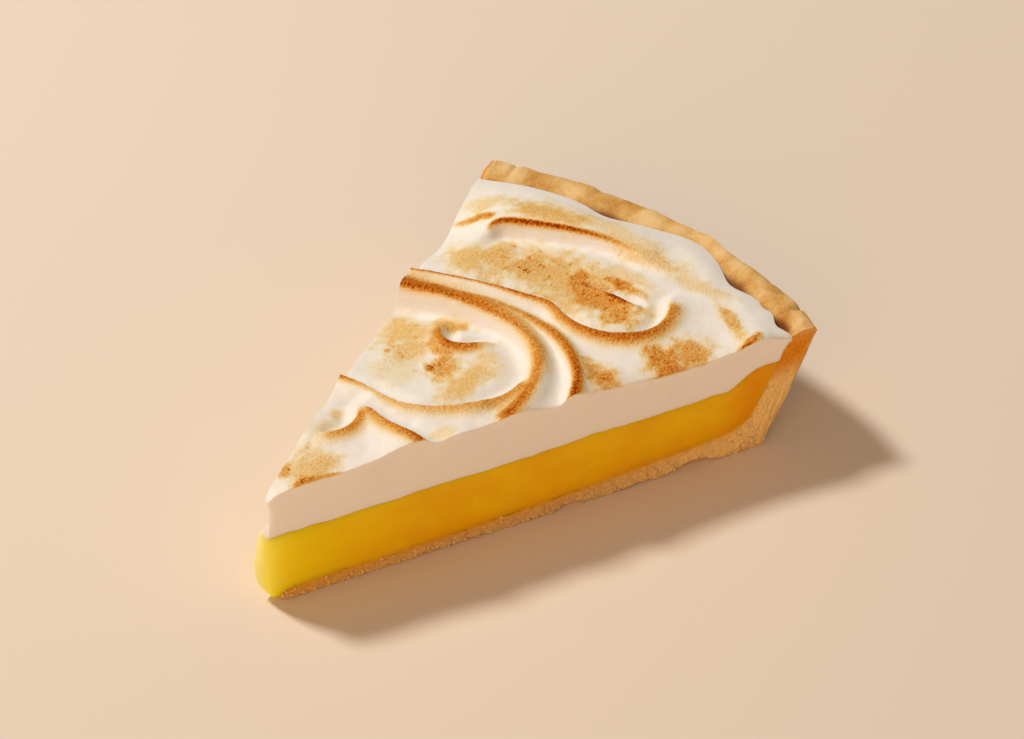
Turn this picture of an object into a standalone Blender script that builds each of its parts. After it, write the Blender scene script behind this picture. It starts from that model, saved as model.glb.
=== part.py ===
"""One slice of a lemon meringue pie, cut from a round pie baked in a shallow sloping tin.

Three solids lie one in the other, as in the real slice: the shortcrust shell with its base,
sloping wall and rim; the lemon curd set in it; and the meringue on top, swirled with a spoon
into crests and bowls. Metres. +X runs from the tip to the rim along the slice's middle line,
+Z is up, and the origin is on the table under the middle of the slice.
"""
import math

import bmesh
import bpy
import numpy as np
from mathutils import Vector, noise

MM = 0.001

# The cut and the tin
PIE_RADIUS = 126 * MM
RIM_SPREAD = 1.0 * MM
HALF_ANGLE = math.radians(20.8)
FOOT_RADIUS = 113.4 * MM
TIP_AT = 0.8 * MM
TIP_REACH = 5.0 * MM
TIP_SAG = 1.6 * MM
TIP_SAG_REACH = 5.0 * MM
MIDDLE_X = (PIE_RADIUS + TIP_AT) / 2
CLEARANCE = 0.3 * MM
TIP_CLEARANCE = 0.5 * MM

# The levels in the slice
CURD_LEVEL = 16.6 * MM
CURD_AT_WALL = 21.0 * MM
CURD_CLIMB_FROM = 100 * MM
CURD_CLIMB_TO = 109 * MM
CURD_WALL_CONTACT = 15.0 * MM
MERINGUE_LEVEL = 27.1 * MM
MERINGUE_EDGE_LEVEL = 25.9 * MM
MERINGUE_EDGE_WIDTH = 5.0 * MM
SOFTENING = 0.8 * MM

# The shell in section, from the middle of the pie over the base, wall and rim to the outer edge
SHELL_PROFILE = [(0, 3.0), (52, 3.2), (80, 4.4), (100, 5.6), (105.5, 6.4), (109, 8.8), (111.4, 12.6),
                 (118.0, 24.2), (119.4, 25.6), (121.8, 26.4), (124.2, 26.0), (125.0, 24.8)]
BASE_END = 104 * MM
BASE_ROWS = 30
WALL_ROWS = 20
SHELL_LEVELS = 4
CURD_ROWS = 24
CURD_LEVELS = 4
MERINGUE_ROWS = 76
MERINGUE_LEVELS = 3


# Curves

def smooth_curve(points, steps=10):
    """A Catmull-Rom curve through the points, given in millimetres, as an array in metres."""
    known = np.array(points, float) * MM
    ends = np.vstack([2 * known[0] - known[1], known, 2 * known[-1] - known[-2]])
    t = np.linspace(0, 1, steps, endpoint=False)[:, None]
    pieces = []
    for a, b, c, d in zip(ends, ends[1:], ends[2:], ends[3:]):
        bend = 2 * a - 5 * b + 4 * c - d
        pieces.append(0.5 * (2 * b + (c - a) * t + bend * t ** 2 + (3 * b - a - 3 * c + d) * t ** 3))
    return np.vstack([*pieces, known[-1:]])


def lengths_along(line):
    return np.concatenate([[0], np.cumsum(np.linalg.norm(np.diff(line, axis=0), axis=1))])


def smooth_step(x, low, high):
    t = np.clip((x - low) / (high - low), 0, 1)
    return t * t * (3 - 2 * t)


def bell(x, middle, width):
    return np.exp(-((x - middle) / width) ** 2)


SHELL_LINE = smooth_curve(SHELL_PROFILE)


def wall_radius(z):
    """The radius of the shell's inner wall at a height above its inside corner."""
    wall = SHELL_LINE[(SHELL_LINE[:, 0] > BASE_END) & (SHELL_LINE[:, 0] < 119 * MM)]
    return np.interp(z, wall[:, 1], wall[:, 0])


def base_top(r):
    """The top of the shell's base, which thins out under the curd that sags over its tip."""
    return np.interp(r, SHELL_LINE[:, 0], SHELL_LINE[:, 1]) - TIP_SAG * bell(r, 0, TIP_SAG_REACH)


def curd_top(r):
    return CURD_LEVEL + (CURD_AT_WALL - CURD_LEVEL) * smooth_step(r, CURD_CLIMB_FROM, CURD_CLIMB_TO)


def overhang(angle):
    """How far the meringue has spread over the rim, which is narrow there and wide at the far cut."""
    degrees = np.degrees(angle)
    return (3.4 * bell(degrees, -3.5, 4.5) - 1.7 * bell(degrees, 21, 4)) * MM


def shrinkage(angle):
    """The gap where the meringue has drawn back from the rim in places as it baked."""
    places = [(6.3, 2.6, 1.5), (-10.8, 2.2, 1.7), (-18.8, 1.4, 1.7)]
    gap = sum(depth * bell(np.degrees(angle), at, width) for at, width, depth in places)
    return gap * MM


# The spoon's strokes in the meringue. Each is a crest line in plan, in millimetres from the
# middle of the pie, with its height at the start, middle and end, the side that falls steeply
# (1 is the left of its direction), the widths of its steep and its gentle flank, how round its
# top is, and the depth and distance of the trough on the steep side.

STROKES = [
    # The rope between the two bowls, from the far cut round to the near cut
    dict(line=[(66.4, 31.5), (68.3, 26.3), (70.6, 19.3), (72.5, 12.9), (73.9, 6.5), (74.1, 0), (72.3, -6.2),
               (68.5, -11.4), (62.5, -15.7), (56, -18.1), (48, -19.5)],
         rise=(2.9, 2.6, 0.9), steep=-1, near=2.1, far=3.8, roundness=2.4, trough=1.4, trough_at=4.6),
    # Its outer strand
    dict(line=[(75.4, 14), (77.0, 6.5), (77.7, 0), (77.4, -6), (76.1, -11), (73.9, -15.4), (70.8, -19.4),
               (66.8, -22.9), (61, -26)],
         rise=(1.7, 1.9, 1.5), steep=-1, near=2.1, far=2.4, roundness=1.8, trough=0.8, trough_at=3.5),
    # The thin lip round the tip's side of the first bowl
    dict(line=[(37.2, 18), (38.3, 13.8), (39.0, 9), (39.1, 4), (39.8, -1), (41.6, -4.6), (44.6, -8.1),
               (48.3, -11), (52.8, -13), (57.8, -13.8), (63, -13.2)],
         rise=(2.2, 1.8, 1.9), steep=1, near=2.0, far=3.6, roundness=1.6, trough=0.9, trough_at=3.0),
    # The lip round the second bowl
    dict(line=[(72.4, 31), (74.2, 27.1), (76.1, 23.6), (78.1, 18.6), (80.2, 13), (82.4, 6.1), (84, 0.5),
               (83.8, -2.6), (82.6, -6), (82.3, -10), (83.3, -14.4), (85.5, -18), (88.6, -20.7),
               (92.2, -21.8), (96, -21.4), (99.2, -20), (102, -17.6)],
         rise=(2.5, 2.4, 1.5), steep=1, near=2.0, far=2.9, roundness=1.8, trough=1.2, trough_at=3.1),
    # The ledge outside the second bowl
    dict(line=[(95.2, 27.2), (97.8, 27.4), (100.4, 25.8), (102.9, 21.6), (105, 16.8), (107, 12.2), (108.8, 7),
               (109.8, 1), (109.7, -6)],
         rise=(2.6, 2.2, 1.2), steep=-1, near=2.0, far=8.0, roundness=2.0, trough=2.0, trough_at=4.0),
    # The small peak near the tip, and the two lips that run down from it
    dict(line=[(33.8, 5.4), (33.9, 2.1), (33.2, -0.9), (32.9, -4.9), (33.0, -8.9), (33.6, -15)],
         rise=(2.3, 2.0, 1.3), steep=1, near=2.0, far=4.0, roundness=1.6, trough=0.6, trough_at=3.4),
    dict(line=[(33.8, 5.1), (31, 2.9), (28, 2.0), (25, 2.3), (22.4, 3.6), (20.6, 5.8)],
         rise=(1.7, 1.6, 1.4), steep=-1, near=2.0, far=3.6, roundness=1.6, trough=1.0, trough_at=3.2),
    # The two small hooks where the spoon was lifted
    dict(line=[(67.2, 12.6), (64.6, 11.6), (62.6, 9.4), (61.9, 6.6), (63.2, 4.2), (65.6, 2.3), (68, 1.2)],
         rise=(0.5, 1.3, 0.5), steep=1, near=1.9, far=3.2, roundness=1.6, trough=1.1, trough_at=2.6),
    dict(line=[(95.4, -2.2), (95.8, -7), (96.4, -13.2)],
         rise=(0.5, 1.0, 0.7), steep=1, near=1.8, far=2.4, roundness=1.6, trough=0.9, trough_at=2.2),
]
STROKE_TAPER = 4 * MM

# Broad rises and hollows: middle, half-widths and height in millimetres
SWELLS = [
    ((0, 0), (4, 4), -2.0),
    ((12, 1), (12, 8), 0.6),
    ((22, 9), (6, 5), 1.3),
    ((30, -10), (9, 7), 1.2),
    ((46, -19), (10, 6), 1.1),
    ((63, -25), (12, 6), 1.4),
    ((54, 9), (13, 11), -0.7),
    ((58, 22), (13, 6), -1.4),
    ((92, 2), (8, 17), -0.6),
    ((91, 35), (11, 7), -4.0),
    ((98, 19), (4, 6), -0.8),
    ((95, -34), (11, 7), -0.5),
    ((104, -39), (4, 4), 1.3),
]


def stroke_relief(x, y, stroke):
    """The crest and the trough of one stroke at the points, both in metres and not below 0."""
    line = smooth_curve(stroke["line"])
    run = lengths_along(line)
    nearest = np.hypot(x[:, None] - line[:, 0], y[:, None] - line[:, 1]).argmin(axis=1)
    direction = np.gradient(line, axis=0)[nearest]
    direction /= np.linalg.norm(direction, axis=1)[:, None]
    dx, dy = x - line[nearest, 0], y - line[nearest, 1]
    ahead = direction[:, 0] * dx + direction[:, 1] * dy
    past_end = np.where(nearest == 0, np.minimum(ahead, 0), 0)
    past_end = np.where(nearest == len(line) - 1, np.maximum(ahead, 0), past_end)
    inward = stroke["steep"] * (direction[:, 0] * dy - direction[:, 1] * dx)
    distance = np.hypot(inward, past_end)
    steep_share = smooth_step(inward / np.maximum(distance, 0.01 * MM), -1, 1)
    flank = (stroke["far"] + (stroke["near"] - stroke["far"]) * steep_share) * MM
    taper = smooth_step(np.minimum(run, run[-1] - run), -STROKE_TAPER, STROKE_TAPER)[nearest]
    rise = np.interp(run[nearest] / run[-1], [0, 0.5, 1], stroke["rise"]) * MM
    crest = rise * taper * np.exp(-(distance / flank) ** stroke["roundness"])
    trough_at = stroke["trough_at"] * MM
    trough = stroke["trough"] * MM * taper * steep_share * bell(distance, trough_at, 0.6 * trough_at)
    return crest, trough


def largest(heights):
    """A soft maximum, so that crests that meet run into each other."""
    return np.sum(np.array(heights) ** 4, axis=0) ** 0.25


def meringue_top(x, y):
    """The height of the meringue over a point of the plan, measured from the middle of the pie."""
    crests, troughs = zip(*[stroke_relief(x, y, stroke) for stroke in STROKES])
    z = MERINGUE_LEVEL + largest(crests) - largest(troughs)
    for (cx, cy), (wx, wy), rise in SWELLS:
        z = z + rise * MM * bell(x, cx * MM, wx * MM) * bell(y, cy * MM, wy * MM)
    inside = meringue_radius(np.arctan2(y, x)) - np.hypot(x, y)
    share = np.sqrt(smooth_step(inside, -0.2 * MM, MERINGUE_EDGE_WIDTH))
    return MERINGUE_EDGE_LEVEL + (z - MERINGUE_EDGE_LEVEL) * share


def softened_top(x, y):
    """The meringue's height averaged over a small hexagon, so that narrow crests stay even."""
    turns = np.arange(6) * math.pi / 3
    around = sum(meringue_top(x + SOFTENING * np.cos(t), y + SOFTENING * np.sin(t)) for t in turns)
    return (meringue_top(x, y) + around) / 7


def meringue_radius(angle):
    return wall_radius(MERINGUE_EDGE_LEVEL) - CLEARANCE + overhang(angle) - shrinkage(angle)


# The wedge that every layer starts from

def wedge_prism(rows, levels):
    """A prism over a triangle cut into rows of small triangles.

    A vertex holds parameters and not a place: x is its share of the way from the tip to the
    rim, y divided by x is -1 on the near cut and 1 on the far cut, and z is its level.
    """
    bm = bmesh.new()
    tip, near, far = (bm.verts.new(p) for p in ((0, 0, 0), (1, -1, 0), (1, 1, 0)))
    bm.faces.new((tip, near, far))
    bmesh.ops.subdivide_edges(bm, edges=bm.edges[:], cuts=rows - 1, use_grid_fill=True)
    upper = bm.faces[:]
    for level in range(levels):
        made = bmesh.ops.extrude_face_region(bm, geom=upper, use_keep_orig=level == 0)["geom"]
        if level > 0:
            bmesh.ops.delete(bm, geom=[f for f in upper if f.is_valid], context="FACES_ONLY")
        upper = [f for f in made if isinstance(f, bmesh.types.BMFace)]
        bmesh.ops.translate(bm, verts=[v for v in made if isinstance(v, bmesh.types.BMVert)], vec=(0, 0, 1))
    bmesh.ops.recalc_face_normals(bm, faces=bm.faces)
    return bm


def merge_floor(bm, share):
    """Makes the floor of the prism one face as far out as the share of its rows."""
    flat = [f for f in bm.faces if all(v.co.z < 0.5 and v.co.x < share + 1e-6 for v in f.verts)]
    bmesh.ops.dissolve_faces(bm, faces=flat, use_verts=True)


def place(bm, shape):
    """Moves each vertex from its parameters to where shape(row share, side, level) puts it."""
    given = np.array([v.co for v in bm.verts], float)
    row = given[:, 0]
    side = np.divide(given[:, 1], row, out=np.zeros_like(row), where=row > 1e-6)
    points = shape(row, np.clip(side, -1, 1), given[:, 2])
    for vertex, point in zip(bm.verts, points):
        vertex.co = point


def add_object(name, bm, material):
    bmesh.ops.triangulate(bm, faces=bm.faces)
    bmesh.ops.recalc_face_normals(bm, faces=bm.faces)
    mesh = bpy.data.meshes.new(name)
    bm.to_mesh(mesh)
    bm.free()
    mesh.materials.append(material)
    mesh.shade_smooth()
    mesh.set_sharp_from_angle(angle=math.radians(40))
    obj = bpy.data.objects.new(name, mesh)
    obj.location.x = -MIDDLE_X
    bpy.context.scene.collection.objects.link(obj)
    return obj


def make_material(name, colour, roughness):
    material = bpy.data.materials.new(name)
    material.use_nodes = True
    shader = material.node_tree.nodes["Principled BSDF"]
    shader.inputs["Base Color"].default_value = (*colour, 1)
    shader.inputs["Roughness"].default_value = roughness
    shader.inputs["Metallic"].default_value = 0
    return material


def rough(points, size, seed):
    """Smooth noise between about -1 and 1 at each point, with bumps of the given size."""
    shift = Vector((seed, 0, 0))
    return np.array([noise.noise(Vector(p) / size + shift) for p in points])


def polar(r, angle, z):
    return np.stack([r * np.cos(angle), r * np.sin(angle), z], axis=1)


def blunted(points, r, side, cut_back, softness, outward, to_far):
    """Points moved so that the slice's tip is blunt, bulges outward and leans to the far side."""
    moved = points.copy()
    near_tip = bell(r, 0, TIP_REACH)
    moved[:, 0] = cut_back + softness * np.logaddexp(0, (points[:, 0] - cut_back) / softness)
    moved[:, 0] -= outward * near_tip
    moved[:, 1] += to_far * (1 + side) / 2 * near_tip
    return moved


def cut_outward(points, side, amount):
    """Points on the two cut faces moved out of the slice, square to the cut."""
    moved = points.copy()
    on_cut = np.abs(side) > 1 - 1e-4
    moved[on_cut, 0] -= amount[on_cut] * math.sin(HALF_ANGLE)
    moved[on_cut, 1] += amount[on_cut] * np.sign(side[on_cut]) * math.cos(HALF_ANGLE)
    return moved


# The shortcrust shell

def foot_lift(r, angle):
    """How far the base's underside stands off the table along its edge: it is chipped."""
    s = r / MM
    near_cut = 1.6 * bell(s, 68, 2.6) + 2.0 * bell(s, 96.5, 4.2) + 0.5 * bell(s, 83, 4) + 0.4 * bell(s, 45, 5)
    far_cut = 1.2 * bell(s, 58, 3.5) + 1.5 * bell(s, 90, 4)
    return np.where(angle < 0, near_cut, far_cut) * MM


def shell_shape(row, side, level):
    angle = side * HALF_ANGLE
    run = lengths_along(SHELL_LINE)
    base_run = np.interp(BASE_END, SHELL_LINE[:, 0], run)
    base_share = BASE_ROWS / (BASE_ROWS + WALL_ROWS)
    along = np.interp(row, [0, base_share, 1], [0, base_run, run[-1]])
    r_top, z_top = np.interp(along, run, SHELL_LINE[:, 0]), np.interp(along, run, SHELL_LINE[:, 1])
    z_top = z_top - TIP_SAG * bell(r_top, 0, TIP_SAG_REACH)
    inner_rim = smooth_step(r_top, 116 * MM, 119 * MM) * (1 - smooth_step(r_top, 121 * MM, 125 * MM))
    outer_rim = smooth_step(r_top, 119 * MM, 123 * MM)
    spread = RIM_SPREAD * smooth_step(np.degrees(angle), -24, -15)
    r_top = r_top + inner_rim * (overhang(angle) + 0.7 * shrinkage(angle)) + outer_rim * spread
    r_foot = np.interp(row, [0, base_share, 1], [0, BASE_END, FOOT_RADIUS])

    rise = np.clip((level - 1) / (SHELL_LEVELS - 1), 0, 1)
    foot_round = 1.6 * MM * (1 - rise) ** 3 * smooth_step(row, 0.97, 1)
    r = r_foot - foot_round + (r_top - r_foot) * rise
    z = foot_lift(r_foot, angle) * (1 - rise) + (z_top - foot_lift(r_foot, angle)) * rise
    z = np.where(level > 0.5, np.where(rise > 0.99, z_top, z), 0)
    points = polar(r, angle, z)

    on_side = (np.abs(side) > 1 - 1e-4) | (row > 1 - 1e-4)
    visible = (on_side & (level > 0.5)) | (inner_rim > 0.05)
    grain = rough(points, 3.2 * MM, 11) * 0.5 + rough(points, 1.4 * MM, 12) * 0.25
    points = cut_outward(points, side, np.where(visible, grain * MM * 1.0, 0))
    rim_bumps = rough(points, 7 * MM, 13) * 0.62 * MM + rough(points, 3 * MM, 14) * 0.2 * MM
    points[:, 2] += rim_bumps * smooth_step(r_top, 117.5 * MM, 119.5 * MM) * rise ** 2
    outer = (row > 1 - 1e-4) & (level > 0.5)
    wobble = np.abs(rough(points, 9 * MM, 15)) * 0.15 * MM + np.abs(rough(points, 2.5 * MM, 16)) * 0.1 * MM
    points[outer, 0] -= wobble[outer] * np.cos(angle[outer])
    points[outer, 1] -= wobble[outer] * np.sin(angle[outer])

    middle = np.array([80 * MM, 0])
    floor = level < 0.5
    points[floor, :2] = middle + (points[floor, :2] - middle) * 0.9
    return blunted(points, r, side, 4.0 * MM, 1.0 * MM, 0, 0.2 * MM)


def make_shell():
    bm = wedge_prism(BASE_ROWS + WALL_ROWS, SHELL_LEVELS)
    merge_floor(bm, 1)
    place(bm, shell_shape)
    return add_object("crust", bm, make_material("baked shortcrust", (0.72, 0.46, 0.22), 0.85))


# The lemon curd

def curd_shape(row, side, level):
    angle = side * HALF_ANGLE
    r_end = wall_radius(CURD_AT_WALL) - 1.2 * CLEARANCE
    r_floor_end = wall_radius(CURD_WALL_CONTACT) - 1.2 * CLEARANCE
    rise = level / CURD_LEVELS
    r = row * (r_floor_end + (r_end - r_floor_end) * rise)
    z_floor = base_top(r) + 1.2 * CLEARANCE + TIP_CLEARANCE * bell(r, 0, 2 * TIP_SAG_REACH)
    z_floor = np.where(row > 1 - 1e-4, CURD_WALL_CONTACT, z_floor)
    z = z_floor + (curd_top(r) - z_floor) * rise
    points = polar(r, angle, z)
    belly = np.sin(np.pi * rise)
    points = cut_outward(points, side, belly * 0.35 * MM * (1 - smooth_step(row, 0.85, 1)))
    foot = (1 - rise) ** 16
    outward = 0.85 + 0.5 * belly - 2.6 * foot
    to_far = 1.6 + 0.4 * belly - foot
    return blunted(points, r, side, 2.0 * MM, 1.0 * MM, outward * MM, to_far * MM)


def make_curd():
    bm = wedge_prism(CURD_ROWS, CURD_LEVELS)
    place(bm, curd_shape)
    return add_object("lemon_curd", bm, make_material("lemon curd", (0.90, 0.60, 0.02), 0.25))


# The meringue

def meringue_shape(row, side, level):
    angle = side * HALF_ANGLE
    rise = level / MERINGUE_LEVELS
    r_top = row * meringue_radius(angle)
    r_floor = row * (wall_radius(CURD_AT_WALL + CLEARANCE) - 1.2 * CLEARANCE)
    z_floor = curd_top(r_floor) + CLEARANCE
    top = softened_top(r_top * np.cos(angle), r_top * np.sin(angle))
    points = polar(r_floor + (r_top - r_floor) * rise, angle, z_floor + (top - z_floor) * rise)
    on_cut = np.abs(side) > 1 - 1e-4
    slump = np.where(side < 0, 0.35 + 0.5 * smooth_step(r_top, 42 * MM, 54 * MM), 0.35)
    points[on_cut & (rise > 0.99), 2] -= slump[on_cut & (rise > 0.99)] * MM
    waist = -np.sin(np.pi * rise) * 0.4 * MM + np.where(rise > 0.99, -0.25 * MM, 0)
    ripple = rough(points, 11 * MM, 21) * 0.3 * MM
    points = cut_outward(points, side, waist + np.where(on_cut, ripple * rise, 0))
    r = r_floor + (r_top - r_floor) * rise
    to_far = 1.15 - 0.8 * np.sin(np.pi * rise)
    return blunted(points, r, side, (1.1 + 0.4 * rise) * MM, 0.4 * MM, 0, to_far * MM)


def make_meringue():
    bm = wedge_prism(MERINGUE_ROWS, MERINGUE_LEVELS)
    end_of_flat = math.floor(MERINGUE_ROWS * CURD_CLIMB_FROM / wall_radius(CURD_AT_WALL)) / MERINGUE_ROWS
    merge_floor(bm, end_of_flat)
    place(bm, meringue_shape)
    return add_object("meringue", bm, make_material("toasted meringue", (0.93, 0.86, 0.72), 0.6))


for old in list(bpy.data.objects):
    bpy.data.objects.remove(old, do_unlink=True)
make_shell()
make_curd()
make_meringue()
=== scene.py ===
"""A slice of lemon meringue pie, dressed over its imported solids."""
import math
import random

import bmesh
import bpy
import numpy as np
from mathutils import Euler, Matrix, Vector, noise


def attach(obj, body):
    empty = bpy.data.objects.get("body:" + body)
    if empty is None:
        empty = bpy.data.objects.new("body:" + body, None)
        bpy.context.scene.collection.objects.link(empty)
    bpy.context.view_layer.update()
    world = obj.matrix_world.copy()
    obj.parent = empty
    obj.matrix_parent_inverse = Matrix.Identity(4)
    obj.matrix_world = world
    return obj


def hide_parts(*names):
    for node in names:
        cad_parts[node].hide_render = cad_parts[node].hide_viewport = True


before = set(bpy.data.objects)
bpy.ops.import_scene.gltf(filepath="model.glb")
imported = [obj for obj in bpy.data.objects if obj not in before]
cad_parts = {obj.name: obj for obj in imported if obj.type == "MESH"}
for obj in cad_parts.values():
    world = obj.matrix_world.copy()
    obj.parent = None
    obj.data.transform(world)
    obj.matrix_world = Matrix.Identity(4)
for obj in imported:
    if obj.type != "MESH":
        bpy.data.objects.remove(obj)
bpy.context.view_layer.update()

# The shortcrust shell
#
# Rolled shortcrust pressed into a shallow sloping tin and baked: base, wall and rim are one
# piece. The tin leaves its outside smooth, the rim is lumpy and golden, and the two cuts show
# its pale, short crumb, stained yellow where the curd has soaked in.

MM = 0.001
PIE_RADIUS = 126 * MM
HALF_ANGLE = math.radians(20.8)
FOOT_RADIUS = 113.4 * MM
TIP_AT = 0.8 * MM
TIP_REACH = 5.0 * MM
MIDDLE_X = (PIE_RADIUS + TIP_AT) / 2
BASE_END = 104 * MM
TIP_SAG = 2.6 * MM
TIP_SAG_REACH = 4.5 * MM
RIM_SPREAD = 1.0 * MM
SHELL_PROFILE = [(0, 3.0), (52, 3.2), (80, 4.4), (100, 5.6), (106.0, 6.4), (109.7, 8.8), (112.1, 12.6),
                 (118.0, 24.2), (119.4, 25.6), (121.8, 26.4), (124.2, 26.0), (125.0, 24.8)]
SHELL_ROWS = 280
SHELL_BASE_SHARE = 0.6
SHELL_LEVELS = 14


def smooth_curve(points, steps=10):
    """A Catmull-Rom curve through the points, given in millimetres, as an array in metres."""
    known = np.array(points, float) * MM
    ends = np.vstack([2 * known[0] - known[1], known, 2 * known[-1] - known[-2]])
    t = np.linspace(0, 1, steps, endpoint=False)[:, None]
    pieces = []
    for a, b, c, d in zip(ends, ends[1:], ends[2:], ends[3:]):
        bend = 2 * a - 5 * b + 4 * c - d
        pieces.append(0.5 * (2 * b + (c - a) * t + bend * t ** 2 + (3 * b - a - 3 * c + d) * t ** 3))
    return np.vstack([*pieces, known[-1:]])


def lengths_along(line):
    return np.concatenate([[0], np.cumsum(np.linalg.norm(np.diff(line, axis=0), axis=1))])


def smooth_step(x, low, high):
    t = np.clip((x - low) / (high - low), 0, 1)
    return t * t * (3 - 2 * t)


def bell(x, middle, width):
    return np.exp(-((x - middle) / width) ** 2)


def rough(points, size, seed):
    """Smooth noise between about -1 and 1 at each point, with bumps of the given size."""
    shift = Vector((seed, 0, 0))
    return np.array([noise.noise(Vector(p) / size + shift) for p in points.tolist()])


def polar(r, angle, z):
    return np.stack([r * np.cos(angle), r * np.sin(angle), z], axis=1)


def overhang(angle):
    """How far the meringue has spread over the rim, which is narrow there and wide at the far cut."""
    degrees = np.degrees(angle)
    return (3.4 * bell(degrees, -3.5, 4.5) - 1.7 * bell(degrees, 21, 4)) * MM


def shrinkage(angle):
    """The gap where the meringue has drawn back from the rim in places as it baked."""
    places = [(6.3, 2.6, 1.5), (-10.8, 2.2, 1.7), (-15.6, 0.9, 0.7), (-18.8, 1.4, 1.7)]
    gap = sum(depth * bell(np.degrees(angle), at, width) for at, width, depth in places)
    return gap * MM


def wedge(rows, levels, floor_share):
    """A prism over a triangle, cut into rows of small triangles on top and levels on its sides.

    A vertex holds parameters and not a place: x is its share of the way from the tip to the
    rim, y divided by x is -1 on the near cut and 1 on the far cut, and z runs from 0 to 1. The
    hidden middle of the floor is one face as far out as floor_share.
    """
    bm = bmesh.new()
    tip, near, far = (bm.verts.new(p) for p in ((0, 0, 0), (1, -1, 0), (1, 1, 0)))
    bm.faces.new((tip, near, far))
    bmesh.ops.subdivide_edges(bm, edges=bm.edges[:], cuts=rows - 1, use_grid_fill=True)
    made = bmesh.ops.extrude_face_region(bm, geom=bm.faces[:], use_keep_orig=True)["geom"]
    top = [v for v in made if isinstance(v, bmesh.types.BMVert)]
    bmesh.ops.translate(bm, verts=top, vec=(0, 0, 1))
    upright = [e for e in bm.edges if abs(e.verts[0].co.z - e.verts[1].co.z) > 0.5]
    bmesh.ops.subdivide_edges(bm, edges=upright, cuts=levels - 1)
    hidden = [f for f in bm.faces if all(v.co.z < 1e-6 and v.co.x < floor_share
                                         and abs(v.co.y) < v.co.x * 0.94 for v in f.verts)]
    bmesh.ops.dissolve_faces(bm, faces=hidden, use_verts=True)
    bmesh.ops.triangulate(bm, faces=bm.faces)
    return bm


def place(bm, shape):
    """Moves each vertex to where shape(row share, side, level) puts it, and returns the masks."""
    given = np.array([v.co for v in bm.verts], float)
    row = given[:, 0]
    side = np.divide(given[:, 1], row, out=np.zeros_like(row), where=row > 1e-6)
    points, masks = shape(row, np.clip(side, -1, 1), given[:, 2])
    points[:, 0] -= MIDDLE_X
    for vertex, point in zip(bm.verts, points):
        vertex.co = point
    return masks


def make_piece(name, bm, material, node, masks):
    """Turns the mesh into a piece that stands for a node, with its masks as attributes."""
    bmesh.ops.recalc_face_normals(bm, faces=bm.faces)
    mesh = bpy.data.meshes.new(name)
    bm.to_mesh(mesh)
    bm.free()
    mesh.materials.append(material)
    mesh.shade_smooth()
    mesh.set_sharp_from_angle(angle=math.radians(55))
    for mask, values in masks.items():
        attribute = mesh.attributes.new(mask, "FLOAT", "POINT")
        attribute.data.foreach_set("value", np.ascontiguousarray(values, np.float32))
    piece = bpy.data.objects.new(name, mesh)
    bpy.context.scene.collection.objects.link(piece)
    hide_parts(node)
    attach(piece, "root")
    return piece


def blunted(points, r, side, cut_back, softness, outward, to_far, swept_back):
    """Points moved so that the slice's tip is blunt, bulges outward and leans to the far side."""
    moved = points.copy()
    near_tip = bell(r, 0, TIP_REACH)
    far_share = (1 + side) / 2 * near_tip
    moved[:, 0] = cut_back + softness * np.logaddexp(0, (points[:, 0] - cut_back) / softness)
    moved[:, 0] += swept_back * far_share - outward * near_tip
    moved[:, 1] += to_far * far_share
    return moved


def cut_outward(points, side, amount):
    """Points on the two cut faces moved out of the slice, square to the cut."""
    moved = points.copy()
    on_cut = np.abs(side) > 1 - 1e-4
    moved[on_cut, 0] -= amount[on_cut] * math.sin(HALF_ANGLE)
    moved[on_cut, 1] += amount[on_cut] * np.sign(side[on_cut]) * math.cos(HALF_ANGLE)
    return moved


SHELL_LINE = smooth_curve(SHELL_PROFILE)


def base_top(r):
    """The top of the shell's base, which thins out under the curd that sags over its tip."""
    return np.interp(r, SHELL_LINE[:, 0], SHELL_LINE[:, 1]) - TIP_SAG * bell(r, 0, TIP_SAG_REACH)


def wall_radius(z):
    """The radius of the shell's inner wall at a height above its inside corner."""
    wall = SHELL_LINE[(SHELL_LINE[:, 0] > BASE_END) & (SHELL_LINE[:, 0] < 119 * MM)]
    return np.interp(z, wall[:, 1], wall[:, 0])


def foot_lift(r, angle):
    """How far the base's underside stands off the table along its edge: it is chipped."""
    s = r / MM
    near_cut = 1.6 * bell(s, 68, 2.6) + 2.0 * bell(s, 96.5, 4.2) + 0.5 * bell(s, 83, 4) + 0.4 * bell(s, 45, 5)
    far_cut = 1.2 * bell(s, 58, 3.5) + 1.5 * bell(s, 90, 4)
    return np.where(angle < 0, near_cut, far_cut) * MM


def rim_wear(angle):
    """The nicks in the rim, in millimetres."""
    degrees = np.degrees(angle)
    nicks = 0.5 * bell(degrees, 18.1, 0.3) + 0.9 * bell(degrees, -17.5, 0.4) + 0.4 * bell(degrees, 9, 0.5)
    return nicks + 0.5 * bell(degrees, -20.8, 1.2)


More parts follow.
